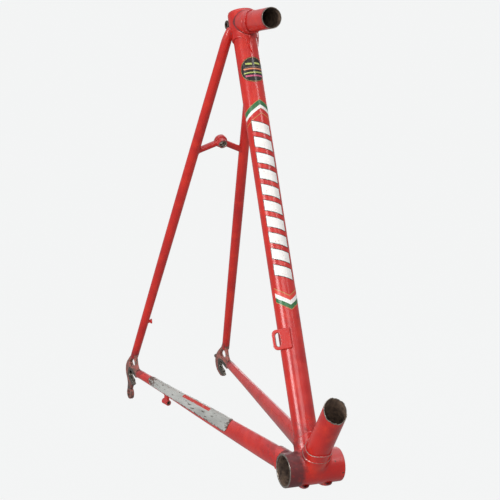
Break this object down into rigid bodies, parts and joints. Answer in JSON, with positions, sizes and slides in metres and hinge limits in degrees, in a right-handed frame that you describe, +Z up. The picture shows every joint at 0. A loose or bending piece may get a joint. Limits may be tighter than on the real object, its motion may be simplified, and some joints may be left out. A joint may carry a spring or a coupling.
{
  "type": "bicycle frame rear section",
  "caption": "Rear section of a lugged steel road bicycle frame: seat tube, stays, dropouts, bottom bracket shell and sawn stubs of the top and down tubes.",
  "frame": {"origin": "centre of the bottom bracket shell, on its axis", "axes": "+X forward along the bicycle, +Y to the rider's left along the bottom bracket axis, +Z up; the drive side is at -Y"},
  "size_m": [0.5233, 0.1466, 0.5598],
  "materials": {
    "red_paint": "gloss red enamel over steel, chipped at edges",
    "bare_steel": "dull grey plated steel screws",
    "worn_dropout_paint": "grimy faded red paint worn to steel",
    "silver_film": "silver adhesive film, scuffed"
  },
  "bodies": {
    "frame": {"seat_tube": "red_paint", "top_tube_stub": "red_paint", "down_tube_stub": "red_paint", "bottom_bracket_shell": "red_paint", "right_cable_guide": "red_paint", "left_cable_guide": "red_paint", "seat_lug": "red_paint", "right_seatstay": "red_paint", "left_seatstay": "red_paint", "right_seatstay_cap": "red_paint", "left_seatstay_cap": "red_paint", "right_chainstay": "red_paint", "left_chainstay": "red_paint", "brake_bridge_barrel": "red_paint", "brake_bridge_right_arm": "red_paint", "brake_bridge_left_arm": "red_paint", "front_derailleur_tab": "red_paint", "rear_derailleur_cable_stop": "red_paint", "chain_peg": "red_paint", "seat_binder_nut": "bare_steel", "right_dropout": "worn_dropout_paint", "left_dropout": "worn_dropout_paint", "chainstay_protector": "silver_film"},
    "binder_bolt": {"seat_binder_bolt": "bare_steel"},
    "adjuster": {"left_adjuster_screw": "bare_steel"}
  },
  "joints": [
    {"name": "binder_bolt_turn", "type": "hinge", "parent": "frame", "child": "binder_bolt", "pos_m": [-0.1803, 0, 0.51791], "axis": [0, -1, 0], "range_deg": [0, 360]},
    {"name": "adjuster_travel", "type": "slide", "parent": "frame", "child": "adjuster", "axis": [-0.9135, 0, 0.4067], "range_m": [0, 0.008]}
  ]
}
